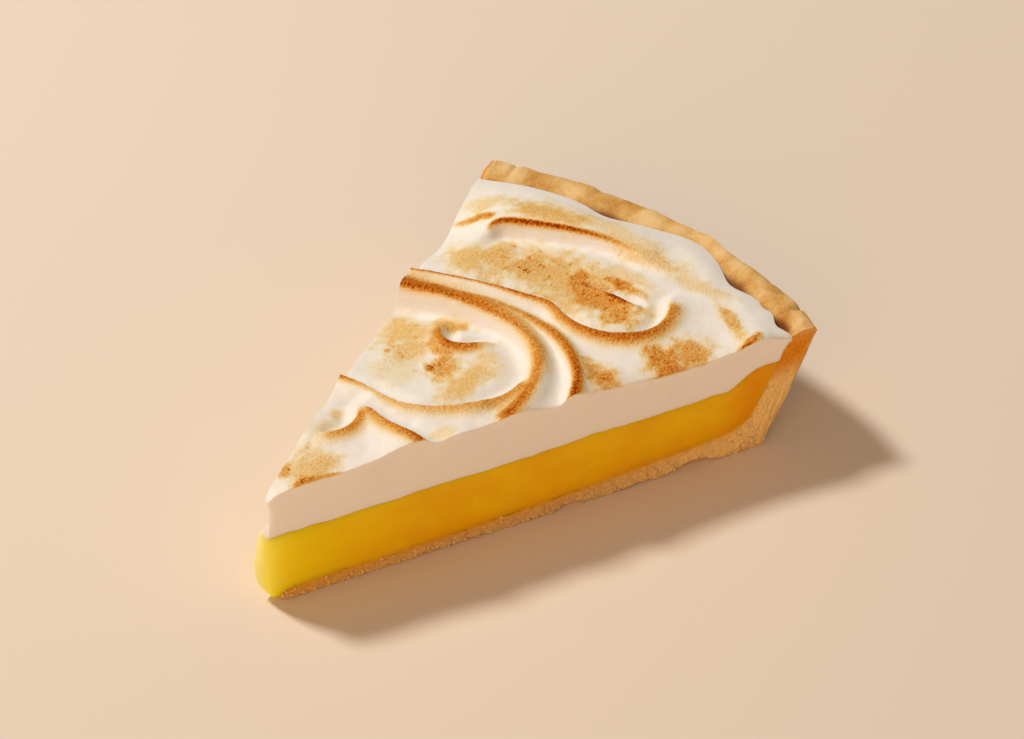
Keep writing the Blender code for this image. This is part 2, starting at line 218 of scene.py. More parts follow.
def shell_shape(row, side, level):
    angle = side * HALF_ANGLE
    run = lengths_along(SHELL_LINE)
    base_run = np.interp(BASE_END, SHELL_LINE[:, 0], run)
    along = np.interp(row, [0, SHELL_BASE_SHARE, 1], [0, base_run, run[-1]])
    r_top, z_top = np.interp(along, run, SHELL_LINE[:, 0]), np.interp(along, run, SHELL_LINE[:, 1])
    z_top = z_top - TIP_SAG * bell(r_top, 0, TIP_SAG_REACH)
    gap = np.clip(shrinkage(angle) / (1.5 * MM), 0, 1) * (1 - smooth_step(r_top, 118.2 * MM, 119.8 * MM))
    inner_rim = smooth_step(r_top, 116 * MM, 119 * MM) * (1 - smooth_step(r_top, 121 * MM, 125 * MM))
    outer_rim = smooth_step(r_top, 119 * MM, 123 * MM)
    spread = RIM_SPREAD * smooth_step(np.degrees(angle), -21, -15)
    r_top = r_top + inner_rim * (overhang(angle) + 0.7 * shrinkage(angle)) + outer_rim * spread
    r_foot = np.interp(row, [0, SHELL_BASE_SHARE, 1], [0, BASE_END, FOOT_RADIUS])
    foot_round = 2.0 * MM * (1 - level) ** 5 * smooth_step(row, 0.97, 1)
    r = r_foot - foot_round + (r_top - r_foot) * level
    lift = foot_lift(r_foot, angle) * smooth_step(np.abs(side), 0.94, 1)
    z = lift + (z_top - lift) * level
    points = polar(r, angle, z)

    on_cut = np.abs(side) > 1 - 1e-4
    rim_top = smooth_step(z, 23 * MM, 25.4 * MM)
    lumps = (rough(points, 7 * MM, 13) * 0.62 + rough(points, 3 * MM, 14) * 0.20
             + rough(points, 1.1 * MM, 18) * 0.04)
    far_edge = smooth_step(side, 0.965, 0.995) * rim_top
    points[:, 2] += rim_top * (lumps - 0.05 - rim_wear(angle) * outer_rim - 0.4 * far_edge - 0.8 * gap) * MM
    grain = (rough(points, 2.4 * MM, 11) * 0.26 + rough(points, 1.1 * MM, 12) * 0.26
             + rough(points, 0.6 * MM, 17) * 0.2)
    points = cut_outward(points, side, ((grain - 0.18) * (1 - 0.6 * rim_top) - 0.2 * outer_rim) * MM)
    below = on_cut & (level < 0.12) & (row < 0.97)
    points[below, 2] += np.abs(rough(points[below], 1.7 * MM, 19)) * 0.6 * MM
    outer = row > 1 - 1e-4
    wobble = np.abs(rough(points, 9 * MM, 15)) * 0.45 + np.abs(rough(points, 2.5 * MM, 16)) * 0.25
    wobble = wobble * (0.35 + 0.65 * smooth_step(level, 0.6, 1))
    wobble += rim_wear(angle) * smooth_step(level, 0.8, 1)
    points[outer, 0] -= wobble[outer] * np.cos(angle[outer]) * MM
    points[outer, 1] -= wobble[outer] * np.sin(angle[outer]) * MM
    points = blunted(points, r, side, 4.0 * MM, 1.0 * MM, 0, 0.2 * MM, 0)

    to_curd = np.where(row < SHELL_BASE_SHARE, z_top - points[:, 2], 7 * (1 - level) * MM)
    soaked_depth = (0.8 + 2.4 * bell(r, 0, 22 * MM)) * MM
    wet = np.exp(-to_curd / soaked_depth) * (1 - smooth_step(r_top, 110 * MM, 114 * MM))
    upper_wall = smooth_step(points[:, 2], 14 * MM, 20 * MM) * smooth_step(r_top, 109 * MM, 112 * MM)
    skin = np.maximum(bell(1 - level, 0, 0.06) * smooth_step(r_top, 119 * MM, 120 * MM),
                      bell(level, 0, 0.12) * smooth_step(row, 0.7, 0.85))
    skin = np.maximum(skin, smooth_step(row, 0.975, 1.0))
    return points, {
        "cut": np.maximum(on_cut * (1 - 0.6 * skin), far_edge),
        "wet": np.where(on_cut, wet, 0),
        "stain": np.maximum(np.where(on_cut, upper_wall, 0), far_edge),
        "pale": smooth_step(r_top, 60 * MM, 110 * MM),
        # The rim's inner wall where the meringue drew back is partly scorched sugar and partly painted shade
        # for the recess.
        "scorch_and_gap_shade": gap * smooth_step(z, 18 * MM, 22 * MM) * ~on_cut,
    }


def new_material(name):
    """An empty Principled material, with its tree, its shader and its object coordinates."""
    material = bpy.data.materials.new(name)
    material.use_nodes = True
    tree = material.node_tree
    where = tree.nodes.new("ShaderNodeTexCoord").outputs["Object"]
    return material, tree, tree.nodes["Principled BSDF"], where


def linked(tree, socket, value):
    """Sets a socket to a constant, or links it to another node's output."""
    if isinstance(value, bpy.types.NodeSocket):
        tree.links.new(value, socket)
    else:
        socket.default_value = value


def speckle(tree, where, size, detail=2, roughness=0.5, stretch=(1, 1, 1)):
    """Cloudy noise, 0 to 1 about 0.5, whose patches are about the given size in metres."""
    spread = tree.nodes.new("ShaderNodeMapping")
    spread.inputs["Scale"].default_value = stretch
    tree.links.new(where, spread.inputs["Vector"])
    node = tree.nodes.new("ShaderNodeTexNoise")
    tree.links.new(spread.outputs["Vector"], node.inputs["Vector"])
    node.inputs["Scale"].default_value = 1 / size
    node.inputs["Detail"].default_value = detail
    node.inputs["Roughness"].default_value = roughness
    return node.outputs["Fac"]


def mask(tree, name):
    node = tree.nodes.new("ShaderNodeAttribute")
    node.attribute_name = name
    return node.outputs["Fac"]


def sums(tree, operation, a, b, clamp=False):
    node = tree.nodes.new("ShaderNodeMath")
    node.operation = operation
    node.use_clamp = clamp
    linked(tree, node.inputs[0], a)
    linked(tree, node.inputs[1], b)
    return node.outputs[0]


def shades(tree, value, *stops):
    """Colours along a value, from stops of (position, colour)."""
    node = tree.nodes.new("ShaderNodeValToRGB")
    ramp = node.color_ramp
    while len(ramp.elements) < len(stops):
        ramp.elements.new(0.5)
    for element, (at, colour) in zip(ramp.elements, stops):
        element.position = at
        element.color = (*colour, 1)
    tree.links.new(value, node.inputs["Fac"])
    return node.outputs["Color"]


def blended(tree, share, a, b):
    node = tree.nodes.new("ShaderNodeMix")
    node.data_type = "RGBA"
    linked(tree, node.inputs["Factor"], share)
    for socket, value in ((node.inputs[6], a), (node.inputs[7], b)):
        linked(tree, socket, value if isinstance(value, bpy.types.NodeSocket) else (*value, 1))
    return node.outputs[2]


def raised(tree, shader, height, distance):
    node = tree.nodes.new("ShaderNodeBump")
    node.inputs["Distance"].default_value = distance
    tree.links.new(height, node.inputs["Height"])
    tree.links.new(node.outputs["Normal"], shader.inputs["Normal"])


def shortcrust():
    material, tree, shader, where = new_material("shortcrust")
    clouds = speckle(tree, where, 6 * MM, 3)
    grains = speckle(tree, where, 0.6 * MM, 3, 0.6)
    mottled = sums(tree, "ADD", sums(tree, "MULTIPLY", clouds, 0.75), sums(tree, "MULTIPLY", grains, 0.25))
    baked = shades(tree, mottled, (0.36, (0.58, 0.28, 0.060)), (0.47, (0.71, 0.41, 0.120)),
                   (0.60, (0.82, 0.58, 0.27)))
    # Dark red-brown in the gaps by the meringue: partly scorched sugar, partly painted shade where the gap
    # lies in shadow.
    baked = blended(tree, mask(tree, "scorch_and_gap_shade"), baked, (0.24, 0.05, 0.004))
    crumb = shades(tree, grains, (0.30, (0.58, 0.33, 0.11)), (0.46, (0.66, 0.42, 0.155)),
                   (0.66, (0.79, 0.55, 0.24)))
    wall_crumb = shades(tree, grains, (0.30, (0.80, 0.50, 0.16)), (0.50, (0.95, 0.66, 0.26)))
    crumb = blended(tree, mask(tree, "pale"), crumb, wall_crumb)
    soaked = shades(tree, grains, (0.35, (0.70, 0.22, 0.001)), (0.60, (0.81, 0.32, 0.004)))
    cut = blended(tree, mask(tree, "stain"), crumb, soaked)
    cut = blended(tree, mask(tree, "wet"), cut, (0.82, 0.38, 0.008))
    linked(tree, shader.inputs["Base Color"], blended(tree, mask(tree, "cut"), baked, cut))
    shader.inputs["Roughness"].default_value = 0.75
    shader.inputs["Specular IOR Level"].default_value = 0.2
    shader.inputs["Subsurface Weight"].default_value = 0.15
    shader.inputs["Subsurface Radius"].default_value = (1.0, 0.6, 0.3)
    shader.inputs["Subsurface Scale"].default_value = 1.0 * MM
    crumbly = sums(tree, "SUBTRACT", mask(tree, "cut"), sums(tree, "MULTIPLY", mask(tree, "stain"), 0.7))
    height = sums(tree, "MULTIPLY", sums(tree, "ADD", grains, clouds), sums(tree, "ADD", 0.6, crumbly))
    raised(tree, shader, height, 0.22 * MM)
    return material


shell_mesh = wedge(SHELL_ROWS, SHELL_LEVELS, 0.9)
shell_masks = place(shell_mesh, shell_shape)
baked_crust = shortcrust()
shell = make_piece("pastry_shell", shell_mesh, baked_crust, "crust", shell_masks)

# The crumbs
#
# Short pastry breaks where the knife goes through, so crumbs cling to the cut faces of the base
# and wall, most of them along the lower edge.

CRUMB_COUNT = 700
CRUMB_SIZES = (0.16 * MM, 0.50 * MM)
CRUMB_TOP = 15 * MM
CRUMB_FALL = 1.6 * MM
STRAY_CRUMBS = 0.06

crumbs_mesh = bmesh.new()
chance = random.Random(5)
cut_places = [vertex.co for vertex, cut in zip(shell.data.vertices, shell_masks["cut"])
              if cut > 0.3 and vertex.co.z < CRUMB_TOP
              and chance.random() < math.exp(-vertex.co.z / CRUMB_FALL) + STRAY_CRUMBS]
for spot in chance.sample(cut_places, CRUMB_COUNT):
    size = CRUMB_SIZES[0] + (CRUMB_SIZES[1] - CRUMB_SIZES[0]) * chance.random() ** 2
    stretch = Vector([chance.uniform(0.7, 1.2) for _ in range(3)])
    lying = Euler([chance.uniform(0, math.tau) for _ in range(3)]).to_matrix().to_4x4()
    place_of_crumb = Matrix.Translation((spot.x, spot.y, max(spot.z, 1.3 * size)))
    bmesh.ops.create_icosphere(crumbs_mesh, subdivisions=1, radius=size,
                               matrix=place_of_crumb @ lying @ Matrix.Diagonal(stretch).to_4x4())
crumb_data = bpy.data.meshes.new("crumbs")
crumbs_mesh.to_mesh(crumb_data)
crumbs_mesh.free()
crumb_data.materials.append(baked_crust)
crumb_data.shade_smooth()
for mask_name, share in (("cut", 1.0), ("pale", 0.5)):
    attribute = crumb_data.attributes.new(mask_name, "FLOAT", "POINT")
    attribute.data.foreach_set("value", np.full(len(crumb_data.vertices), share, np.float32))
crumbs = bpy.data.objects.new("crumbs", crumb_data)
bpy.context.scene.collection.objects.link(crumbs)
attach(crumbs, "root")

# The lemon curd
#
# Lemon curd poured in hot and set: smooth, translucent and a little glossy. It bulges at the
# tip, where it sags over the base, and runs up the wall under the meringue.

CURD_LEVEL = 16.6 * MM
CURD_AT_WALL = 20.2 * MM
CURD_CLIMB_FROM = 103.5 * MM
CURD_CLIMB_TO = 111.2 * MM
CURD_WALL_CONTACT = 9.0 * MM
CURD_ROWS = 170
CURD_RISE = 24


def curd_top(r, angle):
    level = CURD_LEVEL + (CURD_AT_WALL - CURD_LEVEL) * smooth_step(r, CURD_CLIMB_FROM, CURD_CLIMB_TO)
    plan = polar(r, angle, np.zeros_like(r))
    return level + (rough(plan, 8 * MM, 31) * 0.45 + rough(plan, 3 * MM, 32) * 0.22) * MM


def curd_shape(row, side, level):
    angle = side * HALF_ANGLE
    r_end = wall_radius(CURD_AT_WALL)
    r_floor_end = wall_radius(CURD_WALL_CONTACT)
    r = row * (r_floor_end + (r_end - r_floor_end) * level)
    z_floor = base_top(r)
    z_floor = np.where(row > 1 - 1e-4, CURD_WALL_CONTACT, z_floor)
    z = z_floor + (curd_top(r, angle) - z_floor) * level
    points = polar(r, angle, z)
    belly = np.clip(np.sin(np.pi * level), 0, 1)
    waves = rough(points, 9 * MM, 33) * 0.22 * MM + rough(points, 2.5 * MM, 34) * 0.05 * MM
    points = cut_outward(points, side, waves + belly * 0.25 * MM * (1 - smooth_step(row, 0.9, 1)))
    foot = (1 - level) ** 16
    outward = 0.8 + 0.5 * belly - 2.6 * foot
    to_far = 1.8 + 1.4 * np.sqrt(belly) + 0.5 * bell(level, 0.3, 0.25) - 0.4 * foot
    points = blunted(points, r, side, 2.0 * MM, 1.0 * MM, outward * MM, to_far * MM, 0.5 * MM)
    rim_side = smooth_step(r, 100 * MM, 111 * MM)
    # Painted shade: a deeper orange band along the curd's floor, where it meets the crust.
    under = np.exp(-(z - z_floor) / (1.8 * MM))
    return points, {
        "orange_and_floor_shade": np.clip(0.9 * rim_side + 0.9 * under, 0, 1),
        # Thinness near the tip widens the subsurface reach and also carries painted light shining through the
        # tip.
        "thin": np.exp(-r / (13 * MM)),
        # A painted highlight on the tip's lit, rounded corner, stronger towards the far side.
        "tip": (0.6 + 0.35 * side) * bell(r, 0, 3.8 * MM) * smooth_step(level, 0.02, 0.25),
    }


def curd():
    material, tree, shader, where = new_material("lemon curd")
    clouds = speckle(tree, where, 9 * MM, 2, 0.5, (1, 1, 1.8))
    flecks = speckle(tree, where, 1.6 * MM, 2, 0.5, (1, 1, 2))
    body = shades(tree, clouds, (0.35, (0.87, 0.50, 0.002)), (0.65, (0.90, 0.58, 0.003)))
    pith = shades(tree, flecks, (0.66, (0, 0, 0)), (0.74, (0.4, 0.4, 0.4)))
    body = blended(tree, pith, body, (0.92, 0.66, 0.03))
    # Deeper orange towards the wall, and painted shade along the floor where the curd meets the crust.
    body = blended(tree, sums(tree, "MULTIPLY", mask(tree, "orange_and_floor_shade"), 0.85), body, (0.82, 0.32, 0.001))
    # Painted light: paler, brighter yellow towards the thin tip, standing in for light that shines through
    # the curd there.
    body = blended(tree, mask(tree, "thin"), body, (1.0, 0.86, 0.004))
    # Painted highlight: pale cream on the tip's rounded corner, where the lamp behind the slice catches it.
    linked(tree, shader.inputs["Base Color"], blended(tree, mask(tree, "tip"), body, (1.0, 0.82, 0.40)))
    shader.inputs["Roughness"].default_value = 0.30
    shader.inputs["Specular IOR Level"].default_value = 0.12
    shader.inputs["Subsurface Weight"].default_value = 0.9
    shader.inputs["Subsurface Radius"].default_value = (1.0, 1.0, 0.2)
    glow = sums(tree, "ADD", 1.0, sums(tree, "MULTIPLY", mask(tree, "thin"), 2.0))
    reach = sums(tree, "MULTIPLY", glow, 1.5 * MM)
    linked(tree, shader.inputs["Subsurface Scale"], reach)
    raised(tree, shader, speckle(tree, where, 3 * MM, 2), 0.2 * MM)
    return material


curd_mesh = wedge(CURD_ROWS, CURD_RISE, 0.8)
curd_masks = place(curd_mesh, curd_shape)
filling = make_piece("set_curd", curd_mesh, curd(), "lemon_curd", curd_masks)

# The meringue
#
# Whipped egg white and sugar, spread over the curd with the back of a spoon and toasted with a
# flame. The strokes leave crests, each steep on one side; the flame browns the crests and
# freckles the open bowls, and the channels beside the crests stay white.

MERINGUE_LEVEL = 26.9 * MM
MERINGUE_EDGE_LEVEL = 25.9 * MM
MERINGUE_EDGE_WIDTH = 5.0 * MM
MERINGUE_ROWS = 285
MERINGUE_RISE = 24
STROKE_TAPER = 4 * MM

# Each stroke: its crest line in plan, in millimetres from the middle of the pie; its height
# along the line; the side that falls steeply (1 is the left of its direction); the widths of
# its steep and its gentle flank; how round its top is; and the depth and distance of the trough
# on the steep side. Its browning lies a distance to the steep side of the crest, reaches some
# way to the steep and to the gentle side, and has a strength, each given along the line.
STROKES = [
    # The rope between the two bowls, from the far cut round to the near cut
    dict(line=[(67.0, 31.5), (68.8, 26.5), (71.3, 19.5), (73.2, 13), (74.2, 6.5), (74.1, 0), (72.3, -6.2),
               (68.5, -11.4), (62.5, -15.7), (56, -18.1), (48, -19.5)],
         rise=(2.8, 2.7, 2.6, 2.0, 0.9), steep=-1, near=(2.2, 2.0, 1.6, 1.6, 1.6), far=(4.4, 3.4, 2.6),
         roundness=2.8, trough=(1.5, 1.2, 0.9), trough_at=4.3, brown_at=(0.2, 0, 0, 0.3, 0.8),
         brown_steep=(0.9, 0.9, 1.1, 1.6, 2.0), brown_gentle=(4.0, 3.9, 2.9, 1.7, 2.1),
         brown=(0.86, 0.78, 0.56, 0.62, 0.90)),
    # Its outer strand
    dict(line=[(75.4, 14), (77.0, 6.5), (77.7, 0), (77.4, -6), (76.1, -11), (73.9, -15.4), (70.8, -19.4),
               (66.8, -22.9), (61, -26)],
         rise=(1.7, 1.9, 1.5), steep=-1, near=1.4, far=2.3, roundness=2.0, trough=0.9, trough_at=3.2,
         brown_at=(0, 0, 0.1, 0.1, 0), brown_steep=(0.8, 0.8, 0.8, 0.9, 1.0),
         brown_gentle=(2.1, 2.1, 1.9, 1.7, 1.5), brown=(0.46, 0.58, 0.70, 0.82, 0.92)),
    # The thin lip round the tip's side of the first bowl
    dict(line=[(37.2, 18), (38.3, 13.8), (39.0, 9), (39.1, 4), (39.8, -1), (41.6, -4.6), (44.6, -8.1),
               (48.3, -11), (52.8, -13), (57.8, -13.8), (63, -13.2)],
         rise=(2.2, 1.8, 1.9), steep=1, near=1.1, far=3.6, roundness=1.5, trough=0.9, trough_at=2.8,
         brown_at=(0, 0, 0, 0, 0), brown_steep=(0.5, 0.4, 0.4, 0.5, 0.6),
         brown_gentle=(1.9, 0.8, 2.4, 2.9, 2.6), brown=(0.80, 0.42, 0.44, 0.50, 0.62)),
    # The lip round the second bowl
    dict(line=[(72.4, 31), (74.2, 27.1), (76.1, 23.6), (78.1, 18.6), (80.2, 13), (82.4, 6.1), (84, 0.5),
               (83.8, -2.6), (82.6, -6), (82.3, -10), (83.3, -14.4), (85.5, -18), (88.6, -20.7),
               (92.2, -21.8), (96, -21.4), (99.2, -20), (102, -17.6)],
         rise=(2.5, 2.4, 1.5), steep=1, near=1.2, far=2.8, roundness=1.7, trough=1.2, trough_at=2.8,
         brown_at=(0.1, 0.1, 0, 0, -0.1), brown_steep=(0.4, 0.4, 0.5, 0.5, 0.6),
         brown_gentle=(0.7, 0.6, 1.6, 2.9, 2.4), brown=(0.88, 0.86, 0.70, 0.78, 0.56)),
    # The ledge outside the second bowl
    dict(line=[(95.2, 27.2), (97.8, 27.4), (100.4, 25.8), (102.9, 21.6), (105, 16.8), (107, 12.2), (108.8, 7),
               (109.8, 1), (109.7, -6)],
         rise=(2.4, 2.1, 1.1), steep=-1, near=(2.2, 1.8, 1.2), far=8.0, roundness=2.6, trough=(1.0, 0.9, 0.5),
         trough_at=3.2, brown_at=(0.5, 0.6, 0.5, 0.3, 0.3), brown_steep=(0.6, 0.6, 0.5, 0.6, 0.8),
         brown_gentle=(0.5, 0.6, 0.7, 1.1, 1.4), brown=(0.80, 1.0, 0.96, 0.56, 0.20)),
    # The small peak near the tip, and the two lips that run down from it
    dict(line=[(33.8, 5.4), (33.9, 2.1), (33.2, -0.9), (32.9, -4.9), (33.0, -8.9), (33.6, -15)],
         rise=(2.3, 2.0, 1.3), steep=1, near=1.2, far=4.0, roundness=1.5, trough=0.6, trough_at=3.3,
         brown_at=(0, 0, 0, 0, 0), brown_steep=(0.5, 0.5, 0.4, 0.4, 0.5),
         brown_gentle=(1.9, 2.4, 2.5, 2.2, 1.7), brown=(0.72, 0.54, 0.60, 0.78, 1.0)),
    dict(line=[(33.8, 5.1), (31, 2.9), (28, 2.0), (25, 2.3), (22.4, 3.6), (20.6, 5.8)],
         rise=(1.7, 1.6, 1.4), steep=-1, near=1.3, far=3.6, roundness=1.6, trough=1.0, trough_at=3.0,
         brown_at=(0, 0, 0, 0, 0), brown_steep=(0.5, 0.4, 0.4, 0.6, 1.0),
         brown_gentle=(1.9, 2.1, 2.4, 2.4, 2.2), brown=(0.80, 0.60, 0.64, 0.50, 0.24)),
    # The two small hooks where the spoon was lifted
    dict(line=[(67.2, 12.6), (64.6, 11.6), (62.6, 9.4), (61.9, 6.6), (63.2, 4.2), (65.6, 2.3), (68, 1.2)],
         rise=(0.6, 1.5, 0.7), steep=1, near=0.9, far=3.2, roundness=1.5, trough=1.3, trough_at=2.4,
         brown_at=(0, 0, 0, 0, 0), brown_steep=(0.4, 0.3, 0.3, 0.3, 0.4),
         brown_gentle=(1.6, 2.2, 2.8, 2.6, 1.9), brown=(0.50, 0.64, 0.78, 0.72, 0.50)),
    dict(line=[(95.4, -2.2), (95.8, -7), (96.4, -13.2)],
         rise=(0.6, 1.2, 0.9), steep=1, near=0.8, far=1.6, roundness=1.5, trough=1.1, trough_at=1.7,
         brown_at=(0, 0, 0, 0, 0), brown_steep=(0.3, 0.2, 0.2, 0.2, 0.2),
         brown_gentle=(0.7, 1.0, 1.3, 1.6, 1.6), brown=(0.60, 0.76, 0.90, 1.0, 1.0)),
]

# Broad rises and hollows: middle, half-widths and height in millimetres
SWELLS = [
    ((0, 0), (4, 4), -2.0),
    ((12, 1), (12, 8), 0.6),
    ((22, 9), (6, 5), 1.3),
    ((30, -10), (9, 7), 1.2),
    ((46, -19), (10, 6), 1.1),
    ((63, -25), (12, 6), 1.4),
    ((54, 9), (13, 11), -0.7),
    ((58, 22), (13, 6), -1.4),
    ((92, 2), (8, 17), -0.6),
    ((91, 35), (11, 7), -4.0),
    ((98, 19), (4, 6), -0.8),
    ((95, -34), (11, 7), -0.5),
    ((104, -39), (4, 4), 1.3),
]

# Where the flame has coloured the open meringue: middle, half-widths and turn of each patch,
# in millimetres and degrees, then its tan and how freckled it is
TOASTED = [
    # Near the tip
    ((13, -0.5), (6, 5.5), 0, 0.36, 0.4),
    ((9.2, 2.2), (3, 1.5), 30, 0.50, 0.8),
    ((9.5, -3), (3.4, 1.5), -20, 0.64, 1.0),
    ((14, -5), (3, 0.9), -15, 0.56, 0.6),
    ((23, 5), (4, 3.5), 0, 0.22, 0.1),
    ((29.5, 7.5), (2, 2), 0, 0.26, 0.1),
    ((38.5, -12.5), (3, 1.6), -30, 0.20, 0),
    # The first bowl
    ((59.4, 17.4), (7, 4.2), 15, 0.38, 0.05),
    ((57, 12.6), (8, 5), 20, 0.35, 0.5),
    ((49.5, 9.1), (6, 5.5), 0, 0.16, 0.3),
    ((52.7, 15.1), (0.9, 1.1), 0, 0.52, 0.3),
    ((60.5, 7.1), (3.4, 6.5), -15, 0.48, 0.6),
    ((56, 2.6), (5.5, 3.6), 20, 0.50, 0.8),
    ((53.8, 4.9), (1.2, 2.2), -10, 0.66, 1.0),
    ((55.5, -4.3), (9.3, 3.4), 8, 0.37, 0.2),
    ((63, -2.5), (4.2, 3), 20, 0.27, 0.2),
    ((67.6, 11.8), (2.6, 4.4), 30, 0.46, 0.1),
    ((59, -14.6), (8, 1.8), 5, 0.42, 0.3),
    ((65, 2.1), (4.4, 2.4), -25, 0.34, 0.3),
    # The second bowl
    ((87.3, 24.2), (6, 5.5), 20, 0.38, 0.2),
    ((90, 18.2), (8, 5.8), 20, 0.42, 0.3),
    ((93.8, 9.2), (8, 12), 0, 0.41, 0.5),
    ((93.3, 12.7), (4.5, 4), 0, 0.46, 1.0),
    ((95.1, -2.6), (8.2, 13), 0, 0.44, 0.5),
    ((94.2, -5.2), (5.1, 10), 0, 0.58, 0.6),
    ((95.8, 2.2), (4.8, 2.8), 0, 0.58, 0.6),
    ((100.2, -5.4), (1.8, 6.5), 5, 0.62, 0.4),
    ((92.4, -12), (4.6, 4.6), 0, 0.55, 0.6),
    ((103, -5), (2.6, 8), 0, 0.26, 0.1),
    # Outside the second bowl
    ((98.4, 32.1), (3.9, 1.3), -58, 0.60, 0.4),
    ((99.4, 29.5), (1.6, 1.7), -45, 0.60, 0.5),
    ((103.5, 33.5), (4.5, 2.8), -40, 0.28, 0.1),
    ((107.6, 20), (4.2, 11), 18, 0.42, 0.15),
    ((112, 5), (3.2, 17), 0, 0.24, 0.1),
    ((110.5, -3), (2.8, 12), 3, 0.32, 0.2),
    # Beside the near cut
    ((73.4, -23.5), (3.5, 6.5), -15, 0.56, 0.7),
    ((85.5, -29.5), (4.2, 6), -25, 0.58, 0.7),
    ((92.2, -30.6), (5.2, 4.6), -35, 0.50, 0.4),
    ((110, -17), (2.2, 9), 6, 0.25, 0.1),
    ((105.2, -31), (1.7, 8.5), -27, 0.42, 0.6),
    ((102.5, -38.4), (3.2, 1.2), 0, 0.60, 1.0),
]

# Where the flame missed the bottoms of the two hooks, given the same way
SHELTERED = [
    ((66.6, 6.6), (3.6, 2.4), -25),
    ((68.4, 4.0), (3.6, 2.4), -35),
    ((97.8, -7.6), (1.0, 2.4), -8),
    ((98.4, -11.6), (1.3, 3.2), 4),
]


def softest(heights, power=4):
    """A soft maximum, so that crests that meet run into each other."""
    return np.sum(np.array(heights) ** power, axis=0) ** (1 / power)


def along_stroke(x, y, stroke):
    """For each point: distance to the crest line, side of it (1 steep), and share along it."""
    line = smooth_curve(stroke["line"])
    run = lengths_along(line)
    nearest = np.concatenate([np.hypot(px[:, None] - line[:, 0], py[:, None] - line[:, 1]).argmin(axis=1)
                              for px, py in zip(np.array_split(x, 16), np.array_split(y, 16))])
    direction = np.gradient(line, axis=0)[nearest]
    direction /= np.linalg.norm(direction, axis=1)[:, None]
    dx, dy = x - line[nearest, 0], y - line[nearest, 1]
    ahead = direction[:, 0] * dx + direction[:, 1] * dy
    past_end = np.where(nearest == 0, np.minimum(ahead, 0), 0)
    past_end = np.where(nearest == len(line) - 1, np.maximum(ahead, 0), past_end)
    inward = stroke["steep"] * (direction[:, 0] * dy - direction[:, 1] * dx)
    distance = np.hypot(inward, past_end)
    to_end = np.minimum(run, run[-1] - run)[nearest]
    return distance, inward / np.maximum(distance, 0.01 * MM), run[nearest] / run[-1], to_end


def stroked(x, y):
    """The height of the strokes over the points, and how much the flame has browned them."""
    crests, troughs, browned = [], [], []
    for stroke in STROKES:
        distance, turn, share, to_end = along_stroke(x, y, stroke)
        steep_share = smooth_step(turn, -1, 1)
        rise, near, far, trough, strength, brown_at, to_steep, to_gentle = (
            np.interp(share, np.linspace(0, 1, np.size(stroke[name])), np.atleast_1d(stroke[name]))
            for name in ("rise", "near", "far", "trough", "brown", "brown_at", "brown_steep", "brown_gentle"))
        flank = (far + (near - far) * steep_share) * MM
        taper = smooth_step(to_end, -STROKE_TAPER, STROKE_TAPER)
        crests.append(rise * MM * taper * np.exp(-(distance / flank) ** stroke["roundness"]))
        trough_at = stroke["trough_at"] * MM
        troughs.append(trough * MM * taper * steep_share * bell(distance, trough_at, 0.6 * trough_at))
        off = distance * turn / MM - brown_at
        off = np.where(off > 0, off / to_steep, off / to_gentle)
        past_end = distance * np.sqrt(np.clip(1 - turn ** 2, 0, 1))
        browned.append(strength * smooth_step(to_end, -0.5 * MM, 3.5 * MM) * np.exp(-np.abs(off) ** 2.6)
                       * bell(past_end, 0, 1 * MM))
    return softest(crests) - softest(troughs), softest(browned, 6)


def meringue_radius(angle):
    return wall_radius(MERINGUE_EDGE_LEVEL) + 0.3 * MM + overhang(angle) - shrinkage(angle)


def meringue_top(x, y):
    """The height of the meringue over a point of the plan, and its browning along the strokes."""
    strokes, browned = stroked(x, y)
    z = MERINGUE_LEVEL + strokes
    for (cx, cy), (wx, wy), rise in SWELLS:
        z = z + rise * MM * bell(x, cx * MM, wx * MM) * bell(y, cy * MM, wy * MM)
    plan = np.stack([x, y, np.zeros_like(x)], axis=1)
    z = z + (rough(plan, 6 * MM, 41) * 0.22 + rough(plan, 2.2 * MM, 42) * 0.08) * MM
    inside = meringue_radius(np.arctan2(y, x)) - np.hypot(x, y)
    share = np.sqrt(smooth_step(inside, -0.2 * MM, MERINGUE_EDGE_WIDTH))
    return MERINGUE_EDGE_LEVEL + (z - MERINGUE_EDGE_LEVEL) * share, browned


def out_from(x, y, middle, widths, turn):
    """How far the points lie from a patch's middle, as a share of its half-widths."""
    dx, dy = x / MM - middle[0], y / MM - middle[1]
    c, s = math.cos(math.radians(turn)), math.sin(math.radians(turn))
    return np.hypot((dx * c + dy * s) / widths[0], (dy * c - dx * s) / widths[1])


def tan_patches(x, y):
    """The tan and the freckles that the flame left on the open meringue."""
    tan, freckled = np.zeros_like(x), np.zeros_like(x)
    plan = np.stack([x, y, np.zeros_like(x)], axis=1)
    ragged = (rough(plan, 5 * MM, 51) * 0.45 + rough(plan, 1.8 * MM, 52) * 0.35
              + rough(plan, 0.9 * MM, 53) * 0.15)
    for middle, widths, turn, strength, freckles in TOASTED:
        share = 1 - smooth_step(out_from(x, y, middle, widths, turn) + ragged, 0.35, 1.45)
        tan = np.maximum(tan, strength * share)
        freckled = np.maximum(freckled, freckles * share)
    open_share = 1
    for middle, widths, turn in SHELTERED:
        open_share = open_share * smooth_step(out_from(x, y, middle, widths, turn) + 0.4 * ragged, 0.6, 1.15)
    return tan * open_share, freckled * open_share


